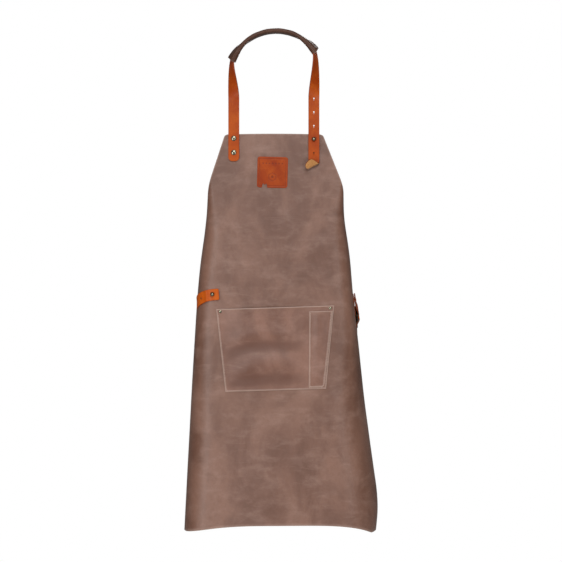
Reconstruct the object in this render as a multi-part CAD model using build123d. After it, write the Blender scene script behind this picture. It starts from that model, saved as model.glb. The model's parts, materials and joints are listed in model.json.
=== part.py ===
from build123d import *
from math import cos, radians, sin
import os

# Leather welding apron, hung by its neck loop. Millimetres, +Z up, the front faces -Y, +X is to the
# right as seen from the front. The origin is the hanging point: the middle of the inside of the neck
# sleeve, where a peg or a neck bears. Depths below that point are positive values named "drop".

# ---- driving sizes ----
# main panel
bib_drop = 225.0
panel_length = 872.0
bib_width = 215.0
leather = 2.6
bib_slope_drop = 116.0
bib_slope_out_left = 37.0
bib_slope_out_right = 46.0
corner_rounding = 6.0
hem_rise = 13.0
armhole_depth = 150.0
armhole_radius = 260.0
armhole_start_y = 24.0
waist_below_bib = 355.0
chest_below_bib = 275.0
top_half_left = 129.0
top_half_right = 136.0
chest_half_left = 161.0
chest_half_right = 168.0
waist_half_left = 168.0
waist_half_right = 175.5
hem_half_left = 198.5
hem_half_right = 230.0
waist_roll_left = 27.0
waist_roll_right = 32.0
hem_roll_left = 40.0
hem_roll_right = 72.0
waist_return = 80.0
hem_return = 88.0

# neck strap and sleeve
strap_width = 24.0
strap_thickness = 2.8
strap_spread = 176.0
loop_radius = 103.0
loop_half_angle = 72.0
strap_lap = 61.0
face_on_drop = 150.0
free_end_curl = 5.0
free_end_return = 11.0
hole_pitch = 30.0
hole_count = 5
leg_steps = 8
loop_steps = 20
curl_steps = 6
stud_hole = 4
strap_hole = 5.0
stud_below_bib = 12.5
sleeve_wall = 1.9
sleeve_side_clearance = 2.2
sleeve_lift_clearance = 3.4
sleeve_corner = 3.5
sleeve_seam_inset = 5.0
sleeve_left_angle = 66.0
sleeve_right_angle = 63.0

# rivets and studs
rivet_head = 11.5
rivet_dome = 2.6
rivet_shank = 3.2
shank_clearance = 0.1
cap_rim_share = 0.45
foot_share = 0.6
first_rivet_below_bib = 10.5
rivet_pitch = 31.0
small_rivet_head = 6.6
small_rivet_dome = 1.6
small_rivet_shank = 2.2
stud_ball = 9.0
ball_sink = 0.7
stud_neck = 4.2
stud_flange = 8.4
stud_flange_height = 1.2
stud_screw = 3.0
stud_screw_head = 9.0
stud_screw_head_height = 1.6
driver_slot = 1.0
seat_clearance = 0.25

# pockets, in the pocket's own tilted frame: the middle of the mouth is its origin
pocket_mouth_below_bib = 382.0
pocket_centre_x = 3.0
pocket_tilt = 1.8
pocket_mouth = 259.0
pocket_base = 221.0
pocket_base_shift = -4.4
pocket_depth = 182.0
pocket_leather = 2.2
pocket_swell = 7.0
pocket_margin = 13.0
swell_slope = 9.0
tool_mouth = 54.0
tool_base = 34.0
tool_mouth_lower = 11.0
tool_edge_gap = 5.0
tool_base_gap = 4.0
tool_margin = 5.0
tool_swell = 6.0
tool_slope = 4.0
thread_width = 0.9
thread_height = 0.5
thread_rounding = 0.2
stitch_inset = 2.6
pocket_rivet_inset = 8.5
pocket_rivet_below_mouth = 5.5

# patch
patch_width = 67.0
patch_height = 68.0
patch_thickness = 1.8
patch_below_bib = 51.0
patch_centre_x = -3.0
patch_tilt = -1.5
patch_corner = 6.0
deboss_inset = 4.0
deboss_line = 1.2
deboss_depth = 0.4

# waist strap, tab and ring
waist_width = 25.0
waist_thickness = 2.5
waist_end_x = -120.5
waist_stud_x = -135.0
waist_stud_drop = 578.0
waist_hole_pitch = 27.0
tab_rivet_y = 50.0
tab_rivet_drop = 592.0
tab_pitch = 45.0
tab_front = 11.0
tab_reach = 36.0
ring_wire = 4.4
ring_depth = 16.0
ring_side_gap = 0.9
ring_corner = 3.6
tab_seat = 0.1
ring_stand = 6.8
bar_clearance = 0.3
eye_clearance = 1.5
eye_taper = 20.0
eye_tip = 3.0
tab_taper = 24.0
layer_step = 1.0
strap_layer_step = 4.0
strap_rivet_reach = 33.0
strap_end_reach = 46.0
side_stand = 6.0
front_droop = 4.0
left_droop = 100.0
back_y = 165.0
back_bow = 22.0
back_corner = 52.0
back_sweep = 260.0
back_middle_x = 10.0
strap_steps = 60
right_corner_reach = 68.0

# how far a cutting shape runs past the leather
cut_over = 40.0

# ---- worked out from the driving sizes ----
sleeve_width = strap_width + 2 * sleeve_wall + sleeve_side_clearance
sleeve_thickness = strap_thickness + 2 * sleeve_wall + sleeve_lift_clearance
loop_centre = Vector(0, 0, sleeve_thickness / 2 - loop_radius)
bib_z = -bib_drop
hem_z = bib_z - panel_length
stud_stand = stud_flange_height + seat_clearance
strap_stand = stud_stand + strap_thickness / 2
left_x = -strap_spread / 2
right_x = strap_spread / 2
stud_z = bib_z - stud_below_bib
shank_hole = rivet_shank / 2 + shank_clearance
front = (0, -1, 0)


def turned(point, axis_point, tilt):
    """A point of the front plane, turned about another point by an angle in degrees."""
    offset = Vector(*point).rotate(Axis.Y, -tilt)
    return Vector(*axis_point) + offset


# ---- general shapes ----
def peg(at, toward, radius, start, end):
    """A round peg along a direction, from one distance to another."""
    direction = Vector(*toward).normalized()
    plane = Plane(origin=Vector(*at) + direction * start, z_dir=direction)
    return extrude(plane * Circle(radius), end - start)


def ribbon(stations, width, thickness):
    """A strap: rectangles across the path, each a point, the way along and the way across."""
    sections = []
    for point, along, across in stations:
        plane = Plane(origin=point, x_dir=across, z_dir=along)
        sections.append((plane * Rectangle(width, thickness)).face())
    return loft(sections, ruled=True)


def rivet(at, toward, stack, behind, head, dome, shank):
    """A double-cap rivet: the cap on the leather in front, and the post that comes from behind."""
    direction = Vector(*toward).normalized()
    face = Plane(origin=Vector(*at) + direction * stack, z_dir=direction)
    rim = dome * cap_rim_share
    socket_end = stack + dome / 2
    cap = extrude(face * Circle(head / 2), rim)
    cap += extrude(face.offset(rim) * Circle(head / 2), dome - rim, taper=45)
    cap -= peg(at, toward, shank / 2, 0, socket_end)
    post = peg(at, toward, shank / 2, -behind, socket_end)
    post += peg(at, toward, head / 2, -behind - dome * foot_share, -behind)
    return cap, post


def stud(at, strap):
    """A ball-head stud on the front face and the slotted screw that holds it from behind."""
    neck_top = stud_flange_height + 2 * seat_clearance + strap
    ball_centre = neck_top + stud_ball / 2 - ball_sink
    head = peg(at, front, stud_flange / 2, 0, stud_flange_height)
    head += peg(at, front, stud_neck / 2, 0, ball_centre)
    head += Pos(*(Vector(*at) + Vector(*front) * ball_centre)) * Sphere(stud_ball / 2)
    head -= peg(at, front, stud_screw / 2, 0, neck_top)
    screw = peg(at, front, stud_screw / 2, -leather, neck_top)
    screw += peg(at, front, stud_screw_head / 2, -leather - stud_screw_head_height, -leather)
    slot_place = Vector(*at) - Vector(*front) * (leather + stud_screw_head_height)
    screw -= Pos(*slot_place) * Box(stud_screw_head, driver_slot, driver_slot)
    return head, screw


# ---- main panel ----
def panel_section(z, left, right, roll_left, roll_right, deep):
    """One level of the panel: a flat front with both sides rolled back, as a thin closed outline."""
    lc = (-left + roll_left, roll_left)
    rc = (right - roll_right, roll_right)
    with BuildSketch(Plane.XY.offset(z)) as section:
        with BuildLine():
            Line((-left, roll_left + deep), (-left, roll_left))
            CenterArc(lc, roll_left, 180, 90)
            Line((lc[0], 0), (rc[0], 0))
            CenterArc(rc, roll_right, 270, 90)
            Line((right, roll_right), (right, roll_right + deep))
            Line((right, roll_right + deep), (right - leather, roll_right + deep))
            Line((right - leather, roll_right + deep), (right - leather, roll_right))
            CenterArc(rc, roll_right - leather, 0, -90)
            Line((rc[0], leather), (lc[0], leather))
            CenterArc(lc, roll_left - leather, 270, -90)
            Line((-left + leather, roll_left), (-left + leather, roll_left + deep))
            Line((-left + leather, roll_left + deep), (-left, roll_left + deep))
        make_face()
    return section.sketch.face()


def panel_levels():
    """Each level's height, half widths, rolls and return, from the bib down to below the hem."""
    below = hem_z - 3 * hem_rise
    chest = bib_z - chest_below_bib
    waist = bib_z - waist_below_bib
    wl, wr = waist_roll_left, waist_roll_right
    return [
        (bib_z, top_half_left, top_half_right, wl, wr, waist_return),
        (chest, chest_half_left, chest_half_right, wl, wr, waist_return),
        (waist, waist_half_left, waist_half_right, wl, wr, waist_return),
        (below, hem_half_left, hem_half_right, hem_roll_left, hem_roll_right, hem_return),
    ]


def panel_outline():
    """What the front view keeps: the bib's slopes, its rounded corners and the curved hem."""
    half = bib_width / 2
    wide = hem_half_right + cut_over
    slope_z = bib_z - bib_slope_drop
    left_out = half + bib_slope_out_left
    right_out = half + bib_slope_out_right
    low = hem_z - hem_rise / 2
    hem_middle = hem_z + hem_rise / 2
    points = [(-wide, low), (-wide, slope_z - cut_over), (-left_out, slope_z)]
    points += [(-half, bib_z), (half, bib_z)]
    points += [(right_out, slope_z), (wide, slope_z - cut_over), (wide, low)]
    with BuildSketch(Plane.XZ) as outline:
        with BuildLine():
            Polyline(*points)
            ThreePointArc((wide, low), (0, hem_middle), (-wide, low))
        make_face()
        top = outline.vertices().group_by(Axis.Y)[-1]
        fillet(top, corner_rounding)
    return extrude(outline.sketch, hem_half_right + cut_over, both=True)


def armhole():
    """What the armholes cut from both rolled sides: a curve falling towards the back edges."""
    start_z = bib_z - bib_slope_drop
    deep = waist_roll_left + waist_return
    start = (armhole_start_y, start_z)
    end = (deep, start_z - armhole_depth)
    with BuildSketch(Plane.YZ) as cut:
        with BuildLine():
            RadiusArc(start, end, -armhole_radius)
            above = bib_z + cut_over
            Polyline(end, (2 * deep, end[1]), (2 * deep, above), (start[0], above), start)
        make_face()
    return extrude(cut.sketch, hem_half_right + cut_over, both=True)


def side_wall_x(z):
    """The outer face of the right rolled side, between the waist and the hem."""
    waist = bib_z - waist_below_bib
    below = hem_z - 3 * hem_rise
    share = (waist - z) / (waist - below)
    return waist_half_right + share * (hem_half_right - waist_half_right)


def make_panel():
    levels = [panel_section(*level) for level in panel_levels()]
    panel = loft(levels, ruled=True)
    panel = panel & panel_outline()
    panel -= armhole()
    for at in neck_rivet_places():
        panel -= peg(at, front, shank_hole, -2 * leather, leather)
    for at in pocket_rivet_places():
        panel -= peg(at, front, small_rivet_shank / 2 + shank_clearance, -2 * leather, leather)
    for at in [neck_stud_place(), waist_stud_place()]:
        panel -= peg(at, front, stud_screw / 2 + shank_clearance, -2 * leather, leather)
    panel -= peg(tab_origin(), tab_outward(), shank_hole, -3 * leather, leather)
    return panel


# ---- neck strap, sleeve, rivets and stud ----
def neck_rivet_places():
    first = bib_z - first_rivet_below_bib
    return [(left_x, 0, first), (left_x, 0, first - rivet_pitch)]


def neck_stud_place():
    return (right_x, 0, stud_z)


def strap_hole_places():
    """The punched holes: the numbered one sits on the stud, the rest are a pitch apart."""
    top = stud_z + (stud_hole - 1) * hole_pitch
    return [(right_x, 0, top - step * hole_pitch) for step in range(hole_count)]


def leg_stations(side, y_low, low_z):
    """One leg, from its face-on lower end up to the loop: it turns a quarter turn on the way."""
    angle = radians(loop_half_angle)
    top = loop_centre + Vector(side * sin(angle), 0, cos(angle)) * loop_radius
    x_low = side * strap_spread / 2
    stations = [(Vector(x_low, y_low, low_z), 0.0), (Vector(x_low, y_low, -face_on_drop), 0.0)]
    for step in range(1, leg_steps):
        share = step / leg_steps
        ease = share * share * (3 - 2 * share)
        x = x_low + (top.X - x_low) * ease
        y = y_low * (1 - ease)
        z = -face_on_drop + (top.Z + face_on_drop) * share
        stations.append((Vector(x, y, z), 90 * ease))
    legs = []
    for point, turn in stations:
        face = Vector(side * sin(radians(turn)), -cos(radians(turn)), 0)
        along = Vector(0, 0, -side)
        legs.append((point, along, along.cross(face)))
    return legs


def loop_stations():
    """The arc over the neck, its width along Y."""
    arc = []
    for step in range(loop_steps + 1):
        angle = radians(-loop_half_angle + 2 * loop_half_angle * step / loop_steps)
        radial = Vector(sin(angle), 0, cos(angle))
        along = Vector(cos(angle), 0, -sin(angle))
        arc.append((loop_centre + radial * loop_radius, along, along.cross(radial)))
    return arc


def curl_stations(y, z):
    """The free end below the last hole: it curls forward and up."""
    curl = []
    across = Vector(-1, 0, 0)
    centre = Vector(right_x, y - free_end_curl, z)
    for step in range(1, curl_steps + 1):
        angle = radians(180 * step / curl_steps)
        point = centre + Vector(0, free_end_curl * cos(angle), -free_end_curl * sin(angle))
        along = Vector(0, -sin(angle), -cos(angle))
        curl.append((point, along, across))
    curl.append((point + Vector(0, 0, free_end_return), along, across))
    return curl


def make_neck_strap():
    low_z = bib_z - strap_lap
    left = leg_stations(-1, -strap_thickness / 2, low_z)
    right = leg_stations(1, -strap_stand, low_z)
    stations = left + loop_stations() + right[::-1] + curl_stations(-strap_stand, low_z)
    strap = ribbon(stations, strap_width, strap_thickness)
    for at in neck_rivet_places():
        strap -= peg(at, front, shank_hole, 0, 2 * strap_thickness)
    for at in strap_hole_places():
        strap -= peg(at, front, strap_hole / 2, 0, strap_stand + strap_thickness)
    return strap


def sleeve_ring(width, thickness, radius, corner):
    """A band of the sleeve's arc with a rounded rectangular section."""
    start = radians(-sleeve_left_angle)
    radial = Vector(sin(start), 0, cos(start))
    along = Vector(cos(start), 0, -sin(start))
    plane = Plane(origin=loop_centre + radial * radius, x_dir=along.cross(radial), z_dir=along)
    section = plane * RectangleRounded(width, thickness, corner)
    axis = Axis(loop_centre, (0, 1, 0))
    return revolve(section, axis, sleeve_left_angle + sleeve_right_angle)


def make_sleeve():
    outer = sleeve_ring(sleeve_width, sleeve_thickness, loop_radius, sleeve_corner)
    inner_width = sleeve_width - 2 * sleeve_wall
    inner_thickness = sleeve_thickness - 2 * sleeve_wall
    return outer - sleeve_ring(inner_width, inner_thickness, loop_radius, sleeve_corner - sleeve_wall)


def make_sleeve_stitching():
    """The seam that closes the tube: a line of thread on its outer face near the front edge."""
    radius = loop_radius + sleeve_thickness / 2 + thread_height / 2
    line = sleeve_ring(thread_width, thread_height, radius, thread_rounding)
    return Pos(0, -sleeve_width / 2 + sleeve_seam_inset, 0) * line


def make_neck_rivets():
    pairs = [rivet(at, front, strap_thickness, leather, rivet_head, rivet_dome, rivet_shank)
             for at in neck_rivet_places()]
    return [cap for cap, post in pairs], [post for cap, post in pairs]


# ---- pockets ----
def pocket_point(x, down, y=0.0):
    """A point of the pocket's own frame, placed on the front of the panel."""
    mouth = (pocket_centre_x, y, bib_z - pocket_mouth_below_bib)
    return turned((x, 0, -down), mouth, pocket_tilt)


def pocket_quad(corners, y):
    """A flat four-sided face in the pocket's frame, at a stand-off from the panel."""
    return make_face(Polyline(*[pocket_point(x, down, y) for x, down in corners], close=True)).face()


def pocket_corners():
    """The main pocket's outline, from the left end of the mouth round to the right."""
    half_top = pocket_mouth / 2
    half_base = pocket_base / 2
    return [(-half_top, 0), (half_top, 0), (pocket_base_shift + half_base, pocket_depth),
            (pocket_base_shift - half_base, pocket_depth)]


def swelled_pocket(plate, foot, back, wall, swell, slope):
    """A sewn pocket: a flat margin on its backing, and a swell that is open at the mouth."""
    left_top, right_top, right_base, left_base = foot

    def raised(height, inset, mouth_over):
        lift = slope * height / (swell + wall)
        low = [(left_top[0] + inset, left_top[1] - mouth_over),
               (right_top[0] - inset, right_top[1] - mouth_over),
               (right_base[0] - inset, right_base[1] - inset),
               (left_base[0] + inset, left_base[1] - inset)]
        high = [(low[0][0] + lift, low[0][1]), (low[1][0] - lift, low[1][1]),
                (low[2][0] - lift, low[2][1] - lift), (low[3][0] + lift, low[3][1] - lift)]
        return loft([pocket_quad(low, -back), pocket_quad(high, -back - height)], ruled=True)

    flat = loft([pocket_quad(plate, -back), pocket_quad(plate, -back - wall)], ruled=True)
    body = flat + raised(swell + wall, 0, 0)
    return body - raised(swell, wall, cut_over)


def tool_pocket_corners():
    """The narrow pocket's outline: it lies inside the right end of the main pocket."""
    right_top = pocket_mouth / 2 - tool_edge_gap
    right_base = pocket_base / 2 + pocket_base_shift - tool_edge_gap
    base = pocket_depth - tool_base_gap
    return [(right_top - tool_mouth, tool_mouth_lower), (right_top, tool_mouth_lower),
            (right_base, base), (right_base - tool_base, base)]


def make_pocket():
    plate = pocket_corners()
    tool = tool_pocket_corners()
    margin = pocket_margin
    foot = [(plate[0][0] + margin, 0), (tool[0][0] - margin, 0),
            (tool[3][0] - margin, pocket_depth - margin), (plate[3][0] + margin, pocket_depth - margin)]
    pocket = swelled_pocket(plate, foot, 0, pocket_leather, pocket_swell, swell_slope)
    for at in pocket_rivet_places():
        hole = small_rivet_shank / 2 + shank_clearance
        pocket -= peg(at, front, hole, 0, 2 * pocket_leather)
    return pocket


def make_tool_pocket():
    plate = tool_pocket_corners()
    margin = tool_margin
    foot = [(plate[0][0] + margin, plate[0][1]), (plate[1][0] - margin, plate[1][1]),
            (plate[2][0] - margin, plate[2][1] - margin), (plate[3][0] + margin, plate[3][1] - margin)]
    return swelled_pocket(plate, foot, pocket_leather, pocket_leather, tool_swell, tool_slope)


def seam(points, back):
    """One sewn line through the given corners: thread lying on the leather."""
    runs = []
    for start, end in zip(points, points[1:]):
        a = pocket_point(*start, -back)
        b = pocket_point(*end, -back)
        along = b - a
        across = along.normalized().cross(Vector(*front))
        half = across * (thread_width / 2)
        corners = [a - half, b - half, b + half, a + half]
        runs.append(extrude(make_face(Polyline(*corners, close=True)), thread_height, dir=front))
    line = runs[0]
    for run in runs[1:]:
        line += run
    return line


def sewn_edge(corners):
    """The three sewn sides of a pocket, a little inside its edge."""
    (lt, lt_down), (rt, rt_down), (rb, rb_down), (lb, lb_down) = corners
    inset = stitch_inset
    mouth = lt_down + 2 * inset
    return [(lt + inset, mouth), (lb + inset, lb_down - inset),
            (rb - inset, rb_down - inset), (rt - inset, rt_down + 2 * inset)]


def make_pocket_stitching():
    plate = pocket_corners()
    edge = sewn_edge(plate)
    start = pocket_rivet_below_mouth + small_rivet_head
    edge[0] = (edge[0][0], start)
    edge[3] = (edge[3][0], start)
    return seam(edge, pocket_leather)


def make_tool_stitching():
    return seam(sewn_edge(tool_pocket_corners()), 2 * pocket_leather)


def pocket_rivet_places():
    side = pocket_mouth / 2 - pocket_rivet_inset
    return [pocket_point(-side, pocket_rivet_below_mouth), pocket_point(side, pocket_rivet_below_mouth)]


def make_pocket_rivets():
    size = (small_rivet_head, small_rivet_dome, small_rivet_shank)
    pairs = [rivet(at, front, pocket_leather, leather, *size) for at in pocket_rivet_places()]
    return [cap for cap, post in pairs], [post for cap, post in pairs]


# ---- patch ----
def make_patch():
    centre = (patch_centre_x, 0, bib_z - patch_below_bib - patch_height / 2)
    plane = Plane(origin=centre, x_dir=Vector(1, 0, 0).rotate(Axis.Y, -patch_tilt), z_dir=front)
    patch = extrude(plane * RectangleRounded(patch_width, patch_height, patch_corner), patch_thickness)
    top = plane.offset(patch_thickness - deboss_depth)
    line_width = patch_width - 2 * deboss_inset
    line_height = patch_height - 2 * deboss_inset
    border = RectangleRounded(line_width, line_height, patch_corner - deboss_inset / 4)
    inner = (line_width - 2 * deboss_line, line_height - 2 * deboss_line)
    border -= RectangleRounded(*inner, patch_corner - deboss_inset / 2)
    return patch - extrude(top * border, 2 * deboss_depth)


# ---- waist strap, tab and ring ----
def tab_outward():
    """Square to the leaning wall of the right rolled side."""
    lean = (side_wall_x(hem_z) - side_wall_x(-tab_rivet_drop)) / (-tab_rivet_drop - hem_z)
    return Vector(1, 0, lean).normalized()


def tab_origin():
    """Where the tab's rivet goes through the outer face of the right rolled side."""
    return Vector(side_wall_x(-tab_rivet_drop), tab_rivet_y, -tab_rivet_drop)


def tab_ways():
    """The ways along the tab, across its width and out of the panel."""
    out = tab_outward()
    down = Vector(0, cos(radians(tab_pitch)), -sin(radians(tab_pitch)))
    along = (down - out * down.dot(out)).normalized()
    return along, out.cross(along), out


def side_plane():
    """The tab's edge view: x runs along the tab and y stands off the panel."""
    along, across, out = tab_ways()
    return Plane(origin=tab_origin(), x_dir=along, z_dir=across * -1)


def side_point(reach, stand, across=0.0):
    along, width_way, out = tab_ways()
    return tab_origin() + along * reach + out * stand + width_way * across


def fold_profile(bar, way, inner, taper, end, end_stand, lower_end, seat):
    """A strap folded round a bar, seen on edge: two layers that close up to a flat lap."""
    t = waist_thickness
    outer = inner + t
    x, y = bar
    body = [(x, y - outer), (x + way * taper, seat), (x + way * lower_end, seat),
            (x + way * lower_end, end_stand), (x + way * end, end_stand),
            (x + way * end, end_stand + t), (x + way * taper, end_stand + t), (x, y + outer)]
    shape = make_face(Polyline(*body, close=True)) + Pos(x, y) * Circle(outer)
    eye = [(x, y - inner), (x + way * (taper - eye_tip), end_stand), (x, y + inner)]
    return shape - make_face(Polyline(*eye, close=True)) - Pos(x, y) * Circle(inner)


def make_tab():
    bar = (tab_reach, ring_stand)
    inner = ring_wire / 2 + bar_clearance
    end = tab_reach + tab_front
    profile = fold_profile(bar, -1, inner, tab_taper, end, tab_seat + waist_thickness,
                           end - layer_step, tab_seat)
    tab = extrude(side_plane() * profile, waist_width / 2, both=True)
    return tab - peg(tab_origin(), tab_outward(), shank_hole, -waist_thickness, 3 * waist_thickness)


def make_tab_rivet():
    stack = tab_seat + 2 * waist_thickness
    return rivet(tab_origin(), tab_outward(), stack, leather, rivet_head, rivet_dome, rivet_shank)


def make_ring():
    """A rectangular ring of round wire with rounded corners."""
    along, across, out = tab_ways()
    height = waist_width + 2 * ring_side_gap + ring_wire
    middle = Plane(origin=side_point(tab_reach + ring_depth / 2, ring_stand), x_dir=along, z_dir=out)
    path = (middle * RectangleRounded(ring_depth, height, ring_corner)).face().outer_wire()
    section = Plane(origin=path @ 0, z_dir=path % 0) * Circle(ring_wire / 2)
    return sweep(section, path=path)


def strap_fold_bar():
    return tab_reach + ring_depth


def make_waist_strap():
    """Buttoned at the left front, round the left side, behind the back and up to the ring."""
    along, across, out = tab_ways()
    inner = ring_wire / 2 + eye_clearance
    bar = strap_fold_bar()
    profile = fold_profile((bar, ring_stand), 1, inner, eye_taper, strap_end_reach, ring_stand,
                           strap_end_reach - strap_layer_step, ring_stand - waist_thickness)
    fold = extrude(side_plane() * profile, waist_width / 2, both=True)
    rivet_at = side_point(bar + strap_rivet_reach, ring_stand - waist_thickness)
    fold -= peg(rivet_at, out, shank_hole, -waist_thickness, 3 * waist_thickness)

    stand = stud_stand + waist_thickness / 2
    z = -waist_stud_drop
    side_x = -waist_half_left - side_stand
    fold_end = side_point(bar + strap_end_reach, ring_stand + waist_thickness / 2)
    corner = fold_end + along * right_corner_reach
    points = [(waist_end_x, -stand, z), (side_x, -stand, z - front_droop),
              (side_x, back_y, z - left_droop), (back_middle_x, back_y + back_bow, corner.Z),
              corner, fold_end]
    radii = [waist_roll_left + side_stand, back_corner, back_sweep, back_corner]
    route = FilletPolyline(*points, radius=radii)
    stations = []
    for step in range(strap_steps + 1):
        way = route % (step / strap_steps)
        up = Vector(0, 0, 1) if step < strap_steps else across
        up = (up - way * up.dot(way)).normalized()
        stations.append((route @ (step / strap_steps), way, up))
    strap = ribbon(stations, waist_width, waist_thickness) + fold
    strap -= peg(waist_stud_place(), front, strap_hole / 2, 0, stand + waist_thickness)
    share = (waist_end_x - waist_stud_x + waist_hole_pitch) / route.length
    outward = (route % share).cross(Vector(0, 0, 1))
    hole = peg(route @ share, outward, strap_hole / 2, -2 * waist_thickness, 2 * waist_thickness)
    return strap - hole


def make_strap_rivet():
    """It joins the two layers of the strap's fold, clear of the panel."""
    at = side_point(strap_fold_bar() + strap_rivet_reach, ring_stand - waist_thickness)
    return rivet(at, tab_outward(), 2 * waist_thickness, 0, rivet_head, rivet_dome, rivet_shank)


def waist_stud_place():
    return (waist_stud_x, 0, -waist_stud_drop)


# ---- the whole apron ----
def build():
    neck_caps, neck_posts = make_neck_rivets()
    pocket_caps, pocket_posts = make_pocket_rivets()
    neck_head, neck_screw = stud(neck_stud_place(), strap_thickness)
    waist_head, waist_screw = stud(waist_stud_place(), waist_thickness)
    tab_cap, tab_post = make_tab_rivet()
    strap_cap, strap_post = make_strap_rivet()
    return {
        "apron_panel": make_panel(),
        "bib_patch": make_patch(),
        "pocket_panel": make_pocket(),
        "tool_pocket_panel": make_tool_pocket(),
        "pocket_stitching": make_pocket_stitching(),
        "tool_pocket_stitching": make_tool_stitching(),
        "pocket_rivet_caps": Compound(children=pocket_caps),
        "pocket_rivet_posts": Compound(children=pocket_posts),
        "neck_strap": make_neck_strap(),
        "neck_rivet_caps": Compound(children=neck_caps),
        "neck_rivet_posts": Compound(children=neck_posts),
        "neck_stud_head": neck_head,
        "neck_stud_screw": neck_screw,
        "neck_sleeve": make_sleeve(),
        "sleeve_stitching": make_sleeve_stitching(),
        "waist_strap": make_waist_strap(),
        "waist_stud_head": waist_head,
        "waist_stud_screw": waist_screw,
        "waist_tab": make_tab(),
        "tab_rivet_cap": tab_cap,
        "tab_rivet_post": tab_post,
        "waist_ring": make_ring(),
        "strap_rivet_cap": strap_cap,
        "strap_rivet_post": strap_post,
    }


os.makedirs("parts", exist_ok=True)
for name, shape in build().items():
    export_step(shape, "parts/" + name + ".step")
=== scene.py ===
import json
from math import asin, atan2, cos, exp, hypot, pi, radians, sin

import bmesh
import bpy
from mathutils import Matrix, Vector

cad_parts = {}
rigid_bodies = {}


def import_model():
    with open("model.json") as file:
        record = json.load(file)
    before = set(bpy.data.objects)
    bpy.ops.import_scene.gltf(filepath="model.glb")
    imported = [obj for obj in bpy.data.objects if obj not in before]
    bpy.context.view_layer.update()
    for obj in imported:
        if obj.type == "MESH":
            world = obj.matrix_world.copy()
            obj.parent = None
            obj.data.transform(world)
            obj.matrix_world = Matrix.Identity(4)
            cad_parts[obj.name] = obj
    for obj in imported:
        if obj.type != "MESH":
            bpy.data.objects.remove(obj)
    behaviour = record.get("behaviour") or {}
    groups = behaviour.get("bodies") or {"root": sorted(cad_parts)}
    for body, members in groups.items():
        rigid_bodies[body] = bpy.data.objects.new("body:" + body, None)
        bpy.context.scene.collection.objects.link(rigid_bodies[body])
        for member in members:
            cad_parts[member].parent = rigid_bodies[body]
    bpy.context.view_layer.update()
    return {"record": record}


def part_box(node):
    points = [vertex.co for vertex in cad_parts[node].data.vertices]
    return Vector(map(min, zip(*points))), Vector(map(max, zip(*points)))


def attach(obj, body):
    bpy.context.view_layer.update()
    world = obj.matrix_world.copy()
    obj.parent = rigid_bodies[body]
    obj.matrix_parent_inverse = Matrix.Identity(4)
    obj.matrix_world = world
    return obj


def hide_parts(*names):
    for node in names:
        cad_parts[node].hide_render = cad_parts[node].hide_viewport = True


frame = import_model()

# ----------------------------------------------
# Studio: the apron hangs by its neck loop in soft light from the front, before white paper.
# The camera is a long lens at waist height, square to the bib.
# ----------------------------------------------
def corners(node):
    """The lowest and highest corners of a node's box."""
    return [Vector(corner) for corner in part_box(node)]


lens = 85.0
view_width = 1.236
view_middle = Vector((0.0158, 0.0, -0.549))

camera_data = bpy.data.cameras.new("studio_camera")
camera_data.lens = lens
camera_data.clip_end = 50.0
camera = bpy.data.objects.new("studio_camera", camera_data)
camera.location = view_middle + Vector((0, -view_width * lens / camera_data.sensor_width, 0))
camera.rotation_euler = (radians(90), 0, 0)
bpy.context.scene.collection.objects.link(camera)
bpy.context.scene.camera = camera
bpy.context.scene.view_settings.view_transform = "Standard"


def softbox(name, place, aim, size, power):
    """A square area light that looks at a point."""
    data = bpy.data.lights.new(name, "AREA")
    data.shape = "RECTANGLE"
    data.size, data.size_y = size
    data.energy = power
    lamp = bpy.data.objects.new(name, data)
    lamp.location = place
    lamp.rotation_euler = (Vector(aim) - Vector(place)).to_track_quat("-Z", "Y").to_euler()
    bpy.context.scene.collection.objects.link(lamp)


softbox("strip_left", (-1.25, -2.4, -0.9), (0, 0, -0.85), (0.2, 2.0), 34)
softbox("strip_right", (1.3, -2.5, -0.9), (0, 0, -0.85), (0.2, 2.0), 20)
softbox("softbox_front", (0.3, -3.6, 1.75), (0, 0, -0.85), (2.2, 1.6), 104)
softbox("softbox_back", (0.3, 2.4, 0.6), (0, 0, -0.6), (1.6, 1.2), 34)

world = bpy.data.worlds.new("studio")
world.use_nodes = True
bpy.context.scene.world = world
world_nodes = world.node_tree.nodes
world_links = world.node_tree.links
fill = world_nodes["Background"]
fill.inputs["Color"].default_value = (1.0, 0.99, 0.98, 1)
fill.inputs["Strength"].default_value = 0.17
paper = world_nodes.new("ShaderNodeBackground")
paper.inputs["Color"].default_value = (1, 1, 1, 1)
paper.inputs["Strength"].default_value = 1.0
seen = world_nodes.new("ShaderNodeLightPath")
either = world_nodes.new("ShaderNodeMixShader")
world_links.new(seen.outputs["Is Camera Ray"], either.inputs["Fac"])
world_links.new(fill.outputs[0], either.inputs[1])
world_links.new(paper.outputs[0], either.inputs[2])
world_links.new(either.outputs[0], world_nodes["World Output"].inputs["Surface"])


# ----------------------------------------------
# Main panel: one side of waxed brown pull-up leather, bib and skirt in one, cut to its outline
# with raw edges. It hangs nearly flat in front and rolls back round the wearer at both sides.
# ----------------------------------------------
def keep(bm, name):
    """Turns a finished bmesh into a piece with smooth faces, and returns the piece."""
    mesh = bpy.data.meshes.new(name)
    bm.to_mesh(mesh)
    bm.free()
    mesh.polygons.foreach_set("use_smooth", [True] * len(mesh.polygons))
    piece = bpy.data.objects.new(name, mesh)
    bpy.context.scene.collection.objects.link(piece)
    return piece


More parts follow.
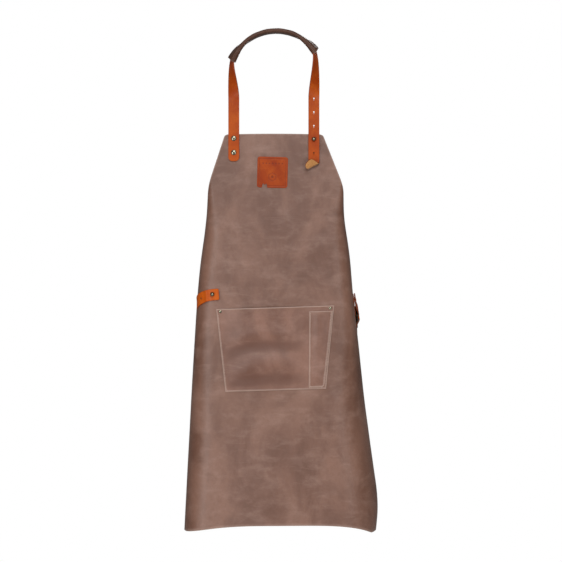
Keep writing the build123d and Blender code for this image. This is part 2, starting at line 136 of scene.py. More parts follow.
class Value:
    """A number or colour on its way through a material, so that sums are written as sums."""

    def __init__(self, finish, socket):
        self.finish, self.socket = finish, socket

    def sum(self, operation, first, second):
        return self.finish.node("ShaderNodeMath", {"operation": operation}, {0: first, 1: second})

    def __add__(self, other):
        return self.sum("ADD", self, other)

    def __sub__(self, other):
        return self.sum("SUBTRACT", self, other)

    def __mul__(self, other):
        return self.sum("MULTIPLY", self, other)

    def __rsub__(self, other):
        return self.sum("SUBTRACT", other, self)

    __radd__ = __add__
    __rmul__ = __mul__


class Finish:
    """A material built from a principled shader."""

    def __init__(self, name, **constants):
        self.material = bpy.data.materials.new(name)
        self.material.use_nodes = True
        self.tree = self.material.node_tree
        self.shader = self.tree.nodes["Principled BSDF"]
        for socket, value in constants.items():
            self.shader.inputs[socket.replace("_", " ")].default_value = value

    def feed(self, socket, value):
        if isinstance(value, Value):
            self.tree.links.new(value.socket, socket)
        else:
            socket.default_value = value

    def node(self, kind, settings, sockets, out=0):
        """Any node: its settings first, then the values or links of its sockets."""
        node = self.tree.nodes.new(kind)
        for name, value in settings.items():
            setattr(node, name, value)
        for name, value in sockets.items():
            self.feed(node.inputs[name], value)
        return Value(self, node.outputs[out])

    def place(self, stretch=(1, 1, 1)):
        """Where the point is on the object, in metres, stretched along each way."""
        spot = self.node("ShaderNodeTexCoord", {}, {}, "Object")
        return self.node("ShaderNodeMapping", {}, {"Vector": spot, "Scale": stretch})

    def noise(self, where, scale, detail=5.0, rough=0.55, warp=0.0):
        sockets = {"Vector": where, "Scale": scale, "Detail": detail, "Roughness": rough}
        sockets["Distortion"] = warp
        return self.node("ShaderNodeTexNoise", {}, sockets)

    def cells(self, where, scale):
        """How far the point is from the edge of its grain cell."""
        settings = {"feature": "DISTANCE_TO_EDGE"}
        return self.node("ShaderNodeTexVoronoi", settings, {"Vector": where, "Scale": scale})

    def between(self, value, low, high):
        """0 below low, 1 above high, smooth between."""
        settings = {"interpolation_type": "SMOOTHSTEP"}
        return self.node("ShaderNodeMapRange", settings, {0: value, 1: low, 2: high})

    def mix(self, share, first, second):
        """The first colour at 0, the second at 1."""
        colours = [c if isinstance(c, Value) else (*c, 1) for c in (first, second)]
        sockets = {0: share, 6: colours[0], 7: colours[1]}
        return self.node("ShaderNodeMix", {"data_type": "RGBA"}, sockets, 2)

    def painted(self, name):
        """A number that the mesh carries at each point."""
        return self.node("ShaderNodeAttribute", {"attribute_name": name}, {}, "Fac")

    def finish(self, colour, rough, height=None, depth=0.0005, strength=1.0):
        self.feed(self.shader.inputs["Base Color"], colour)
        self.feed(self.shader.inputs["Roughness"], rough)
        if height is not None:
            sockets = {"Height": height, "Distance": depth, "Strength": strength}
            normal = self.node("ShaderNodeBump", {}, sockets)
            self.feed(self.shader.inputs["Normal"], normal)
        return self.material


def pull_up_leather(name, tint, edge_pale, gloss=0.42, relief=0.55):
    """Waxed brown leather: cloudy and paler in streaks, with a fine grain; paler at its edges, partly
    from wear and partly as a painted highlight, and darker with painted shade where the piece marks it.
    """
    f = Finish(name, Specular_IOR_Level=gloss)
    cloud = f.noise(f.place((1.3, 1.0, 0.8)), 8.0, 7.0, 0.64, 0.4)
    blotch = f.noise(f.place((1.0, 1.0, 1.9)), 17.0, 8.0, 0.66, 0.3)
    streak = f.noise(f.place((1.0, 1.0, 6.0)), 11.0, 6.0, 0.66, 0.7)
    speck = f.noise(f.place(), 240.0, 4.0, 0.7)
    grain = f.cells(f.place(), 620.0)
    pore = f.noise(f.place(), 1500.0, 2.0, 0.5)
    dark = (0.118 * tint[0], 0.053 * tint[1], 0.034 * tint[2])
    middle = (0.198 * tint[0], 0.101 * tint[1], 0.070 * tint[2])
    pale = (0.280 * tint[0], 0.170 * tint[1], 0.132 * tint[2])
    colour = f.mix(f.between(cloud, 0.34, 0.66), dark, middle)
    colour = f.mix(f.between(blotch, 0.45, 0.75) * 0.46, colour, pale)
    colour = f.mix(f.between(streak, 0.55, 0.76) * 0.34, colour, pale)
    # Painted shade: a darker red-brown mixed in where the piece marks it, on the rolled-back sides of the
    # panel and in the hollows of the pocket's folds. On the neck sleeve the same mark darkens the sewn
    # seam, which is the seam's own colour.
    hollow = f.painted("hollow")
    colour = f.mix(hollow * 0.85, colour, (0.098 * tint[0], 0.040 * tint[1], 0.024 * tint[2]))
    colour = f.mix(f.between(speck, 0.4, 0.75) * 0.28, colour, dark)
    # Paler along the cut edges: partly real wear of the raw edge, partly a painted highlight where the
    # edge's bevel catches the light.
    rubbed = f.painted("rubbed")
    colour = f.mix(rubbed * edge_pale, colour, (0.42, 0.30, 0.245))
    crack = f.between(grain, 0.0, 0.22)
    rough = 0.33 + blotch * 0.14 - cloud * 0.05 + rubbed * 0.15
    height = crack * 0.35 + pore * 0.25 + speck * 0.5 + streak * 0.4
    return f.finish(colour, rough, height, 0.0004, relief)


def raw_edge(name, inner, outer):
    """The cut edge of leather: fibrous, in thin layers."""
    f = Finish(name, Specular_IOR_Level=0.3)
    fibre = f.noise(f.place(), 900.0, 5.0, 0.7)
    wander = f.noise(f.place(), 40.0, 3.0, 0.5)
    colour = f.mix(f.between(fibre + wander * 0.4, 0.45, 0.85), inner, outer)
    return f.finish(colour, 0.75 + fibre * 0.1, fibre, 0.0003, 0.7)


def flesh_side(name, inner, outer):
    """The unfinished back of the leather: napped and matt."""
    f = Finish(name, Specular_IOR_Level=0.25, Sheen_Weight=0.15)
    nap = f.noise(f.place(), 420.0, 6.0, 0.7, 0.6)
    cloud = f.noise(f.place(), 30.0, 4.0, 0.6)
    colour = f.mix(f.between(nap + cloud * 0.5, 0.5, 1.0), inner, outer)
    return f.finish(colour, 0.8 + nap * 0.1, nap, 0.0004, 0.7)


def smooth(share):
    share = max(0.0, min(1.0, share))
    return share * share * (3 - 2 * share)


def along_points(points, x):
    """The value at x on a line through a few points, eased over a short way round each one."""
    def straight(at):
        for (x0, y0), (x1, y1) in zip(points, points[1:]):
            if at <= x1:
                return y0 + (y1 - y0) * (at - x0) / (x1 - x0)
        return y1
    reach = 0.03
    return sum(straight(x + reach * step / 2) for step in range(-2, 3)) / 5


# how the leather turns a right angle: the way gone forward and back after each small step
turn_steps = 48
right_angle = radians(90)
turn_way = [(0.0, 0.0)]
for step in range(turn_steps):
    angle = right_angle * smooth((step + 0.5) / turn_steps)
    gone, back = turn_way[-1]
    turn_way.append((gone + cos(angle) / turn_steps, back + sin(angle) / turn_steps))
turn_reach = turn_way[-1][0]

panel_low, panel_high = corners("apron_panel")
bib_top = panel_high.z
hem_dip = 0.0135
panel_length = bib_top - panel_low.z - hem_dip
panel_thick = 0.0026
bib_half = 0.1075
roll_length = 1.85
left_sides = [(-0.05, 0.140), (0.08, 0.1445), (0.148, 0.1465), (0.20, 0.1515), (0.27, 0.1625),
              (0.345, 0.170), (0.56, 0.184), (0.74, 0.1945), (0.95, 0.206)]
right_sides = [(-0.05, 0.149), (0.08, 0.1525), (0.125, 0.1552), (0.165, 0.1535), (0.205, 0.1595),
               (0.26, 0.169), (0.345, 0.1756), (0.395, 0.1805), (0.44, 0.187), (0.59, 0.205),
               (0.71, 0.2225), (0.80, 0.2365), (0.84, 0.2345), (0.95, 0.2185)]


def roll(side, depth):
    """How large the side's roll is: tight at the armhole and wide at the hem, more on the right."""
    waist = 0.010 + (0.031 if side < 0 else 0.032) * smooth((depth - 0.09) / 0.16)
    return waist + (0.020 if side < 0 else 0.050) * smooth((depth - 0.36) / (0.35 if side < 0 else 0.26))


def cut_half(side, depth):
    """Half the cut width at a depth below the bib: the bib's slope, the armhole, then the skirt."""
    half = along_points(left_sides if side < 0 else right_sides, depth)
    turn = roll_length * roll(side, depth)
    full = half - turn * turn_reach + turn + 0.050 + 0.014 * smooth((depth - 0.46) / 0.3)
    slope = 0.33 if side < 0 else 0.40
    start = 0.104
    width = bib_half + slope * min(depth, start)
    if depth > start:
        over = depth - start
        width += slope * over + 2.15 * over * over
    corner = 0.006
    if depth < corner:
        width -= corner - (corner ** 2 - (corner - depth) ** 2) ** 0.5
    return min(width, full - 0.004 * smooth((0.30 - depth) / 0.05))


def across_front(side, depth, way):
    """Where a point lies that is so far from the middle line, measured along the leather."""
    half = along_points(left_sides if side < 0 else right_sides, depth)
    turn = roll_length * roll(side, depth)
    flat = half - turn * turn_reach
    if way <= flat:
        return way, 0.0
    over = (way - flat) / turn
    if over < 1:
        place = over * turn_steps
        low = int(place)
        (x0, y0), (x1, y1) = turn_way[low], turn_way[low + 1]
        share = place - low
        return flat + turn * (x0 + (x1 - x0) * share), turn * (y0 + (y1 - y0) * share)
    return half, turn * turn_way[-1][1] + (way - flat - turn)


def lie(x, z):
    """How far the hanging leather waves in and out of its front plane."""
    low = smooth((bib_top - z - 0.56) / 0.3)
    chest = smooth((bib_top - z - 0.16) / 0.08) * smooth((0.33 - bib_top + z) / 0.08)
    wave = sin(17 * x + 2.3 * z + 0.8) + 0.6 * sin(31 * x - 5.1 * z)
    crease = sin(46 * z + 7 * x) + 0.5 * sin(83 * z - 11 * x + 1.3)
    return 0.0016 * low * wave + 0.0006 * chest * crease + 0.0004 * low * crease


def grid_piece(name, columns, rows, spot, numbers=("rubbed",)):
    """A sheet as a grid: spot gives each point's place and the numbers that the point carries."""
    bm = bmesh.new()
    bmesh.ops.create_grid(bm, x_segments=columns, y_segments=rows, size=1.0)
    layers = [bm.verts.layers.float.new(number) for number in numbers]
    for vert in bm.verts:
        place, *carried = spot((vert.co.x + 1) / 2, (1 - vert.co.y) / 2)
        vert.co = place
        for layer, value in zip(layers, carried):
            vert[layer] = value
    bmesh.ops.recalc_face_normals(bm, faces=bm.faces)
    return keep(bm, name)


def dress(piece, *materials):
    """Gives a piece its materials: the good side, then the cut edge and the back if it has them."""
    for material in materials:
        piece.data.materials.append(material)


def stand_for(piece, body, slot, *nodes):
    """The piece moves with its body and is shown for its nodes; its slot is not used."""
    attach(piece, body)
    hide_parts(*nodes)


def thicken(piece, thick, offset, edge_width=0.0004):
    """Gives a sheet its leather thickness, a raw edge and slightly worn corners."""
    wall = piece.modifiers.new("thickness", "SOLIDIFY")
    wall.thickness = thick
    wall.offset = offset
    wall.use_even_offset = True
    wall.material_offset_rim = 1
    wall.material_offset = 2 if len(piece.data.materials) > 2 else 0
    worn = piece.modifiers.new("worn_edge", "BEVEL")
    worn.width = edge_width
    worn.segments = 2
    worn.limit_method = "ANGLE"
    worn.angle_limit = radians(50)


def face_front(piece):
    """Makes the sheet's good side look out of the front."""
    mesh = piece.data
    if sum(face.normal.y * face.area for face in mesh.polygons) > 0:
        mesh.flip_normals()


def panel_spot(u, v):
    """A point of the panel: u goes across it and v down it, in steps that are finer at the bib."""
    depth = panel_length * (0.35 * v + 0.65 * v ** 2.2)
    side = -1 if u < 0.5 else 1
    width = cut_half(side, depth)
    share = abs(2 * u - 1)
    x, back = across_front(side, depth, width * share)
    x *= side
    low = (depth / panel_length) ** 4
    sag = 0.017 * min(1, -x / 0.195) ** 2.4 if side < 0 else 0.022 * min(1, x / 0.218) ** 6
    sag += 0.012 * smooth((share - 0.7) / 0.3)
    bow = 0.0015 * (1 - share ** 2) * smooth(1 - depth / 0.1)
    z = bib_top - depth - sag * low + bow - 0.0015
    edge = min(width * (1 - share), depth, panel_length - depth)
    # The third number is painted shade on the sides that roll back away from the front; a narrow strip
    # where the roll begins is left without it.
    roll_start_strip = smooth((0.012 - abs(back - 0.004)) / 0.012) * smooth((depth - 0.1) / 0.1)
    return (x, back + lie(x, z), z), smooth(1 - edge / 0.0035), 0.16 * (1 - roll_start_strip) * smooth(back / 0.02)


panel = grid_piece("apron_panel_leather", 132, 236, panel_spot, ("rubbed", "hollow"))
face_front(panel)
dress(panel, pull_up_leather("brown_pull_up_leather", (1, 1, 1), 0.35),
      raw_edge("panel_raw_edge", (0.085, 0.052, 0.038), (0.19, 0.13, 0.10)),
      flesh_side("panel_flesh_side", (0.115, 0.066, 0.044), (0.20, 0.128, 0.092)))
thicken(panel, panel_thick, -1.0)
stand_for(panel, "apron", "panel_leather", "apron_panel")
flat_width = cut_half(-1, panel_length) + cut_half(1, panel_length)


# ----------------------------------------------
# Main pocket: a trapezoid of the same leather, sewn to the panel on three sides. Its left part
# swells a little at the mouth and has two soft folds; its right part lies flat.
# ----------------------------------------------
tilt = radians(1.8)
mouth, base, pocket_deep = 0.259, 0.221, 0.182
base_shift = -0.0044
pocket_thick = 0.0022
mouth_middle = Vector((0.003, 0, corners("pocket_panel")[1].z - sin(tilt) * mouth / 2))


def on_pocket(x, down, stand):
    """A point of the pocket's own tilted frame, so far in front of the panel."""
    px = mouth_middle.x + x * cos(tilt) + down * sin(tilt)
    pz = mouth_middle.z + x * sin(tilt) - down * cos(tilt)
    return (px, lie(px, pz) - stand, pz)


def pocket_sides(down):
    """Where the pocket's left and right edges are, so far below its mouth."""
    share = down / pocket_deep
    half = (mouth + (base - mouth) * share) / 2
    return base_shift * share - half, base_shift * share + half


tool_mouth, tool_base, tool_drop = 0.0505, 0.0335, 0.0115
tool_gap, tool_base_gap = 0.0042, 0.0034
tool_deep = pocket_deep - tool_base_gap


def tool_sides(down):
    """The same for the tool pocket, whose mouth is a little lower."""
    share = (down - tool_drop) / (tool_deep - tool_drop)
    right = (mouth / 2 + (base_shift + base / 2 - mouth / 2) * share) - tool_gap
    return right - (tool_mouth + (tool_base - tool_mouth) * share), right


def pocket_fold(x, down):
    """The two soft folds across the pocket: from -1 in their hollows to 1 on the crown between."""
    tilted = down + 0.13 * x - 0.006 * sin(30 * x)
    fade = 0.55 + 0.45 * smooth((0.05 - x) / 0.12)
    return fade * cos((tilted - 0.122) * 2 * pi / 0.072) * smooth((down - 0.03) / 0.04)


def pocket_stand(x, down):
    """How far the pocket's back stands off the panel at a point."""
    left, right = pocket_sides(down)
    divider = tool_sides(down)[0]
    side = smooth((x - left - 0.006) / 0.06) * smooth((divider - 0.005 - x) / 0.05)
    foot = smooth((pocket_deep - down - 0.006) / 0.04)
    open_mouth = 0.0040 + 0.002 * (1 - smooth(down / 0.09))
    return side * foot * max(0.0, open_mouth + 0.0026 * pocket_fold(x, down))


def pocket_spot(u, v):
    """A point of the pocket: u goes across it and v down it."""
    down = pocket_deep * v
    left, right = pocket_sides(down)
    x = left + (right - left) * u
    edge = min(x - left, right - x, down, pocket_deep - down)
    inside = smooth((x - left - 0.003) / 0.02) * smooth((tool_sides(down)[0] - x) / 0.03)
    # Painted shade in the hollows of the two folds of the left compartment.
    hollow = inside * smooth(0.05 - pocket_fold(x, down)) * smooth((pocket_deep - down - 0.003) / 0.012)
    stand = pocket_stand(x, down) + 0.0002
    return on_pocket(x, down, stand), smooth(1 - edge / 0.0026), hollow


# The pocket's edges go much paler: partly wear of the raw edge, partly a painted highlight.
pocket_leather = pull_up_leather("pocket_pull_up_leather", (1.04, 0.98, 0.96), 0.85)
pocket_edge = raw_edge("pocket_raw_edge", (0.36, 0.27, 0.22), (0.50, 0.39, 0.33))
pocket = grid_piece("pocket_leather", 104, 76, pocket_spot, ("rubbed", "hollow"))
face_front(pocket)
dress(pocket, pocket_leather, pocket_edge)
thicken(pocket, pocket_thick, 1.0)
stand_for(pocket, "apron", "panel_leather", "pocket_panel")


# ----------------------------------------------
# Tool pocket: a narrow second layer sewn over the right end of the main pocket, for a pencil or
# a marker, with a rounded lower corner.
# ----------------------------------------------
tool_thick = 0.0018
tool_corner = 0.008


def tool_spot(u, v):
    """A point of the tool pocket: u goes across it and v down it."""
    down = tool_drop + (tool_deep - tool_drop) * v
    left, right = tool_sides(down)
    x = left + (right - left) * u
    edge = min(x - left, right - x, down - tool_drop, tool_deep - down)
    side = smooth((x - left - 0.003) / 0.018) * smooth((right - 0.003 - x) / 0.018)
    swell = 0.0026 * side * smooth((tool_deep - down - 0.005) / 0.03) * (1 - 0.3 * smooth(down / 0.12))
    cx, cd = right - tool_corner, tool_deep - tool_corner
    if x > cx and down > cd:
        dx, dd = x - cx, down - cd
        pull = max(dx, dd) / hypot(dx, dd)
        x, down = cx + dx * pull, cd + dd * pull
    return on_pocket(x, down, pocket_thick + swell + 0.0004), smooth(1 - edge / 0.0024)


tool_pocket = grid_piece("tool_pocket_leather", 36, 84, tool_spot)
face_front(tool_pocket)
dress(tool_pocket, pocket_leather, pocket_edge)
thicken(tool_pocket, tool_thick, 1.0)
stand_for(tool_pocket, "apron", "panel_leather", "tool_pocket_panel")


# ----------------------------------------------
# Pocket stitching: waxed thread in a saddle stitch, each stitch a short slanting bead that sinks
# into the leather at both ends.
# ----------------------------------------------
def waxed_thread(name, deep, pale):
    """Twisted linen thread, waxed, and soiled in places."""
    f = Finish(name, Specular_IOR_Level=0.3)
    strands = {"Vector": f.place(), "Scale": 900.0}
    twist = f.node("ShaderNodeTexWave", {"bands_direction": "DIAGONAL"}, strands)
    soil = f.noise(f.place(), 60.0, 4.0, 0.6)
    colour = f.mix(f.between(soil, 0.3, 0.75), deep, pale)
    return f.finish(colour, 0.6 + soil * 0.15, twist, 0.0001, 0.6)


thread = waxed_thread("waxed_thread", (0.33, 0.235, 0.19), (0.52, 0.41, 0.35))


def sew(name, lines, pitch, body, node):
    """Sews along lines: each is a list of points and the way out of the leather at each point."""
    bm = bmesh.new()
    for line in lines:
        for (a, out_a), (b, out_b) in zip(line, line[1:]):
            a, b = Vector(a), Vector(b)
            count = max(1, round((b - a).length / pitch))
            way = (b - a).normalized()
            out = (Vector(out_a) + Vector(out_b)).normalized()
            side = out.cross(way).normalized()
            slant = (way + side * 0.14).normalized()
            turn = Matrix((slant, out.cross(slant), out)).transposed().to_4x4()
            for index in range(count):
                spot = a + (b - a) * ((index + 0.5) / count) + out * 0.00012
                size = Matrix.Diagonal((pitch * 0.40, 0.00052, 0.00042, 1))
                move = Matrix.Translation(spot) @ turn @ size
                bmesh.ops.create_uvsphere(bm, u_segments=6, v_segments=5, radius=1.0, matrix=move)
    piece = keep(bm, name)
    dress(piece, thread)
    stand_for(piece, body, "thread", node)
    return piece


forward = (0, -1, 0)
seam_in = 0.0027
seam_step = 24


def seam_line(sides, top, deep, stand):
    """The sewn sides of a pocket: down the left, along the base and up the right."""
    line = []
    for step in range(seam_step + 1):
        down = top + (deep - seam_in - top) * step / seam_step
        line.append((on_pocket(sides(down)[0] + seam_in, down, stand), forward))
    left, right = sides(deep - seam_in)
    for step in range(1, seam_step):
        x = left + seam_in + (right - left - 2 * seam_in) * step / seam_step
        line.append((on_pocket(x, deep - seam_in, stand), forward))
    for step in range(seam_step + 1):
        down = deep - seam_in + (top - deep + seam_in) * step / seam_step
        line.append((on_pocket(sides(down)[1] - seam_in, down, stand), forward))
    return [line]


pocket_seam = seam_line(pocket_sides, 0.012, pocket_deep, pocket_thick + 0.0002)
sew("pocket_seam", pocket_seam, 0.0038, "apron", "pocket_stitching")
tool_seam = seam_line(tool_sides, tool_drop + 0.003, tool_deep, pocket_thick + 0.0022)
sew("tool_pocket_seam", tool_seam, 0.0036, "apron", "tool_pocket_stitching")


# ----------------------------------------------
# Patch: a square of the strap leather, glued to the bib and pressed with a plain border, a row of
# studs and a hexagon. A small scalloped bite is cut out of its lower edge.
# ----------------------------------------------
patch_low, patch_high = corners("bib_patch")
patch_middle = (patch_low + patch_high) / 2
patch_half = (0.0335, 0.034)
patch_thick = patch_high.y - patch_low.y
patch_tilt = radians(-1.5)
patch_corner = 0.006


def hexagon(x, z):
    """How far a point is from the middle, measured so that a hexagon is at one distance."""
    turned = (atan2(z, x) + pi / 6) % (pi / 3) - pi / 6
    return hypot(x, z) * cos(turned)


def pressed(x, z):
    """How deep the die has pressed the patch at a point, from 0 to 1."""
    border = max(abs(x) - patch_half[0], abs(z) - patch_half[1]) + 0.0042
    mark = smooth(1.6 - abs(border) / 0.0005)
    ring = hexagon(x, z + 0.010) - 0.0078
    mark = max(mark, smooth(1.6 - abs(ring) / 0.0005))
    mark = max(mark, smooth((0.0032 - hypot(x, z + 0.010)) / 0.0006))
    if abs(x) < 0.0245:
        step = (x + 0.0245) % 0.007 - 0.0035
        mark = max(mark, smooth((0.0023 - abs(step) - abs(z - 0.0195)) / 0.0005))
    return mark


bite_x, bite_high, bite_half = -0.0165, 0.0075, 0.0062


def patch_spot(u, v):
    """A point of the patch: u goes across it and v down it."""
    x = patch_half[0] * (2 * u - 1)
    past = x - bite_x
    bite = bite_high * smooth((bite_half - abs(past)) / 0.0016)
    bite -= 0.0014 * cos(past * 2 * pi / bite_half) * smooth((0.0048 - abs(past)) / 0.0016)
    low = -patch_half[1] + bite
    z = low + (patch_half[1] - low) * (1 - v)
    edge_x, edge_z = abs(x) - patch_half[0] + patch_corner, abs(z) - patch_half[1] + patch_corner
    if edge_x > 0 and edge_z > 0:
        pull = max(edge_x, edge_z) / hypot(edge_x, edge_z)
        x += (edge_x * pull - edge_x) * (1 if x > 0 else -1)
        z += (edge_z * pull - edge_z) * (1 if z > 0 else -1)
    sunk = pressed(x, z)
    worn = smooth(1 - min(u, 1 - u, v, 1 - v) / 0.02)
    px = patch_middle.x + x * cos(patch_tilt) - z * sin(patch_tilt)
    pz = patch_middle.z + x * sin(patch_tilt) + z * cos(patch_tilt)
    stand = patch_thick - 0.00045 * sunk - 0.0003 * worn
    return (px, -stand + lie(px, pz), pz), worn, sunk


def strap_leather(name, tint, press):
    """Orange-tan bridle leather: smooth, waxed, darker at the burnished edges, finely pored."""
    f = Finish(name, Specular_IOR_Level=0.14, Coat_Roughness=0.25)
    cloud = f.noise(f.place(), 14.0, 5.0, 0.6, 0.5)
    hide = f.noise(f.place(), 55.0, 6.0, 0.65, 0.8)
    pore = f.noise(f.place(), 1300.0, 3.0, 0.6)
    grain = f.cells(f.place(), 820.0)
    deep = (0.27 * tint[0], 0.033 * tint[1], 0.0012 * tint[2])
    clear = (0.40 * tint[0], 0.068 * tint[1], 0.003 * tint[2])
    colour = f.mix(f.between(cloud, 0.3, 0.7), deep, clear)
    colour = f.mix(f.between(hide, 0.45, 0.8) * 0.35, colour, (0.46, 0.108, 0.010))
    colour = f.mix(f.between(pore, 0.5, 0.8) * 0.12, colour, (0.18, 0.02, 0.002))
    colour = f.mix(f.painted("rubbed") * 0.5, colour, (0.22, 0.026, 0.002))
    height = f.between(grain, 0.0, 0.2) * 0.3 + pore * 0.4 + hide * 0.5
    if press:
        die = f.painted("pressed")
        colour = f.mix(die * 0.6, colour, (0.11, 0.012, 0.002))
    f.feed(f.shader.inputs["Coat Weight"], 0.02 + hide * 0.04)
    return f.finish(colour, 0.36 + hide * 0.16 + pore * 0.05, height, 0.0002, 0.35)


strap_edge = raw_edge("burnished_edge", (0.13, 0.022, 0.005), (0.25, 0.045, 0.009))
patch = grid_piece("bib_patch_leather", 92, 92, patch_spot, ("rubbed", "pressed"))
face_front(patch)
dress(patch, strap_leather("patch_strap_leather", (0.82, 0.72, 0.9), True), strap_edge)
thicken(patch, patch_thick - 0.0006, -1.0, 0.0003)
stand_for(patch, "apron", "patch_leather", "bib_patch")


# ----------------------------------------------
# Neck strap: one length of bridle leather, riveted at its left end, turned edge-on through the
# neck sleeve, and punched with slit holes at its right end. Its free tip has curled forward.
# ----------------------------------------------
def stud_place(node):
    """Where a stud stands on the front plane."""
    low, high = corners(node)
    return Vector(((low.x + high.x) / 2, 0, (low.z + high.z) / 2))


strap_wide, strap_thick = 0.024, 0.0028
neck_stud = stud_place("neck_stud_head")
strap_x = neck_stud.x
strap_stand = 0.0014 + strap_thick / 2
past_rivets = 0.0135
strap_low_z = corners("neck_rivet_caps")[0].z - past_rivets
neck_middle = Vector((0.0053, 0, -0.1064))
neck_radius = 0.107
neck_ends = {-1: radians(-62), 1: radians(49)}
face_on_z = -0.150
tip_z = -0.3185
sleeve_twist = radians(19)
hole_pitch = 0.030
lap_rows, leg_rows, arc_rows, tail_rows = 16, 36, 72, 80


def arc_point(angle):
    """The middle of the strap over the neck."""
    return neck_middle + Vector((sin(angle), 0, cos(angle))) * neck_radius


def leg_point(side, share):
    """A leg of the strap, from the end of the arc, at 0, down to where it is face on, at 1."""
    angle = neck_ends[side]
    top = arc_point(angle)
    low = Vector((side * strap_x, -strap_thick / 2 if side < 0 else -strap_stand, face_on_z))
    leave = Vector((cos(angle), 0, -sin(angle))) * side * 0.055
    arrive = Vector((0, 0, -0.10))
    t, t2, t3 = share, share ** 2, share ** 3
    return (top * (2 * t3 - 3 * t2 + 1) + leave * (t3 - 2 * t2 + t) + low * (3 * t2 - 2 * t3)
            + arrive * (t3 - t2))


def leg_turn(share):
    """How far a leg has turned to face the front."""
    flat = sin(sleeve_twist)
    return asin(flat + (1 - flat) * smooth(share * 1.1 - 0.1))


neck_path = []
for step in range(lap_rows):
    z = strap_low_z + (face_on_z - strap_low_z) * step / lap_rows
    neck_path.append((Vector((-strap_x, -strap_thick / 2, z)), right_angle))
for step in range(leg_rows):
    neck_path.append((leg_point(-1, 1 - step / leg_rows), leg_turn(1 - step / leg_rows)))
for step in range(arc_rows + 1):
    angle = neck_ends[-1] + (neck_ends[1] - neck_ends[-1]) * step / arc_rows
    from_top = abs(2 * step / arc_rows - 1)
    neck_path.append((arc_point(angle), sleeve_twist * smooth(from_top * 2 - 1)))
for step in range(1, leg_rows + 1):
    neck_path.append((leg_point(1, step / leg_rows), leg_turn(step / leg_rows)))
for step in range(1, tail_rows + 1):
    z = face_on_z + (tip_z - face_on_z) * step / tail_rows
    neck_path.append((Vector((strap_x, -strap_stand, z)), right_angle))

neck_route = []
for index, (place, turn) in enumerate(neck_path):
    before, after = neck_path[max(0, index - 1)][0], neck_path[min(len(neck_path) - 1, index + 1)][0]
    outside = Vector(forward).cross((after - before).normalized())
    neck_route.append((place, outside * cos(turn) + Vector(forward) * sin(turn)))


def ribbon(name, route, wide, end_round, columns=12):
    """A strap's middle sheet along a route of places and the ways that its good side looks."""
    lengths = [0.0]
    for (a, out_a), (b, out_b) in zip(route, route[1:]):
        lengths.append(lengths[-1] + (b - a).length)
    total = lengths[-1]
    ends = [end_round * (1 - cos(right_angle * step / 8)) for step in range(9)]
    inner = [length for length in lengths if end_round < length < total - end_round]
    rows = ends + inner + [total - length for length in ends[::-1]]

    def station(length):
        index = max(0, min(len(route) - 2, sum(1 for at in lengths if at <= length) - 1))
        (a, out_a), (b, out_b) = route[index], route[index + 1]
        share = (length - lengths[index]) / (lengths[index + 1] - lengths[index])
        return a.lerp(b, share), out_a.lerp(out_b, share)

    def spot(u, v):
        length = rows[round(v * (len(rows) - 1))]
        place, out = station(length)
        way = station(min(total, length + 0.001))[0] - station(max(0.0, length - 0.001))[0]
        across = way.cross(out).normalized()
        near = min(length, total - length)
        half = wide / 2
        if near < end_round:
            half -= end_round - (end_round ** 2 - (end_round - near) ** 2) ** 0.5
        edge = min(half * (1 - abs(2 * u - 1)), near)
        return place + across * half * (2 * u - 1), smooth(1 - edge / 0.0016)

    return grid_piece(name, columns, len(rows) - 1, spot)


def settle(piece):
    """Makes a piece's modifiers part of its mesh."""
    graph = bpy.context.evaluated_depsgraph_get()
    mesh = bpy.data.meshes.new_from_object(piece.evaluated_get(graph))
    piece.modifiers.clear()
    old = piece.data
    piece.data = mesh
    bpy.data.meshes.remove(old)
    mesh.name = piece.name


punch_reach = 0.02
slit_width, slit_overlap = 0.0007, 0.0006


def cut_away(piece, cutter):
    """Takes one shape out of a piece."""
    cut = piece.modifiers.new("cut", "BOOLEAN")
    cut.object = cutter
    cut.operation = "DIFFERENCE"
    cut.solver = "EXACT"
    settle(piece)


def punch(piece, holes, radius, slit):
    """Punches holes, each a place, the way of the punch and the way of its slit."""
    bm = bmesh.new()
    for place, way, down in holes:
        turn = Matrix((down.cross(way), down, way)).transposed().to_4x4()
        move = Matrix.Translation(place) @ turn
        bmesh.ops.create_cone(bm, cap_ends=True, segments=24, radius1=radius, radius2=radius,
                              depth=punch_reach, matrix=move)
    cutter = keep(bm, piece.name + "_cutter")
    cut_away(piece, cutter)
    for place, way, down in holes if slit else ():
        bm = bmesh.new()
        turn = Matrix((down.cross(way), down, way)).transposed().to_4x4()
        size = Matrix.Diagonal((slit_width, slit, punch_reach, 1))
        move = Matrix.Translation(place + down * (radius + slit / 2 - slit_overlap)) @ turn @ size
        bmesh.ops.create_cube(bm, size=1.0, matrix=move)
        bm.to_mesh(cutter.data)
        bm.free()
        cut_away(piece, cutter)
    bpy.data.objects.remove(cutter)


def good_side(piece, route):
    """Turns the sheet over if its good side looks the wrong way at the start of the route."""
    mesh = piece.data
    first = min(mesh.polygons, key=lambda face: (face.center - route[1][0]).length)
    if first.normal.dot(route[1][1]) < 0:
        mesh.flip_normals()


def curl_tip(piece, pivot, rise, radius, most):
    """Rolls everything below a rising line forward round a small cylinder."""
    ahead = Vector((sin(rise), 0, -cos(rise)))
    for vert in piece.data.vertices:
        if vert.co.x < 0:
            continue
        past = (vert.co - pivot).dot(ahead)
        if past <= 0:
            continue
        stand = -vert.co.y + pivot.y
        base = vert.co - ahead * past
        angle = min(past / radius, most)
        rest = past - angle * radius
        bend = radius - stand
        base.y = pivot.y - radius + bend * cos(angle) - sin(angle) * rest
        vert.co = base + ahead * (bend * sin(angle) + cos(angle) * rest)


bridle = strap_leather("orange_strap_leather", (1.0, 1.0, 1.0), False)
tan_flesh = flesh_side("strap_flesh_side", (0.36, 0.155, 0.045), (0.52, 0.26, 0.09))


def strap_body(piece, thick):
    """Gives a strap its thickness: the good side, the burnished edge and the flesh side."""
    dress(piece, bridle, strap_edge, tan_flesh)
    thicken(piece, thick, 0.0, 0.0005)
    settle(piece)


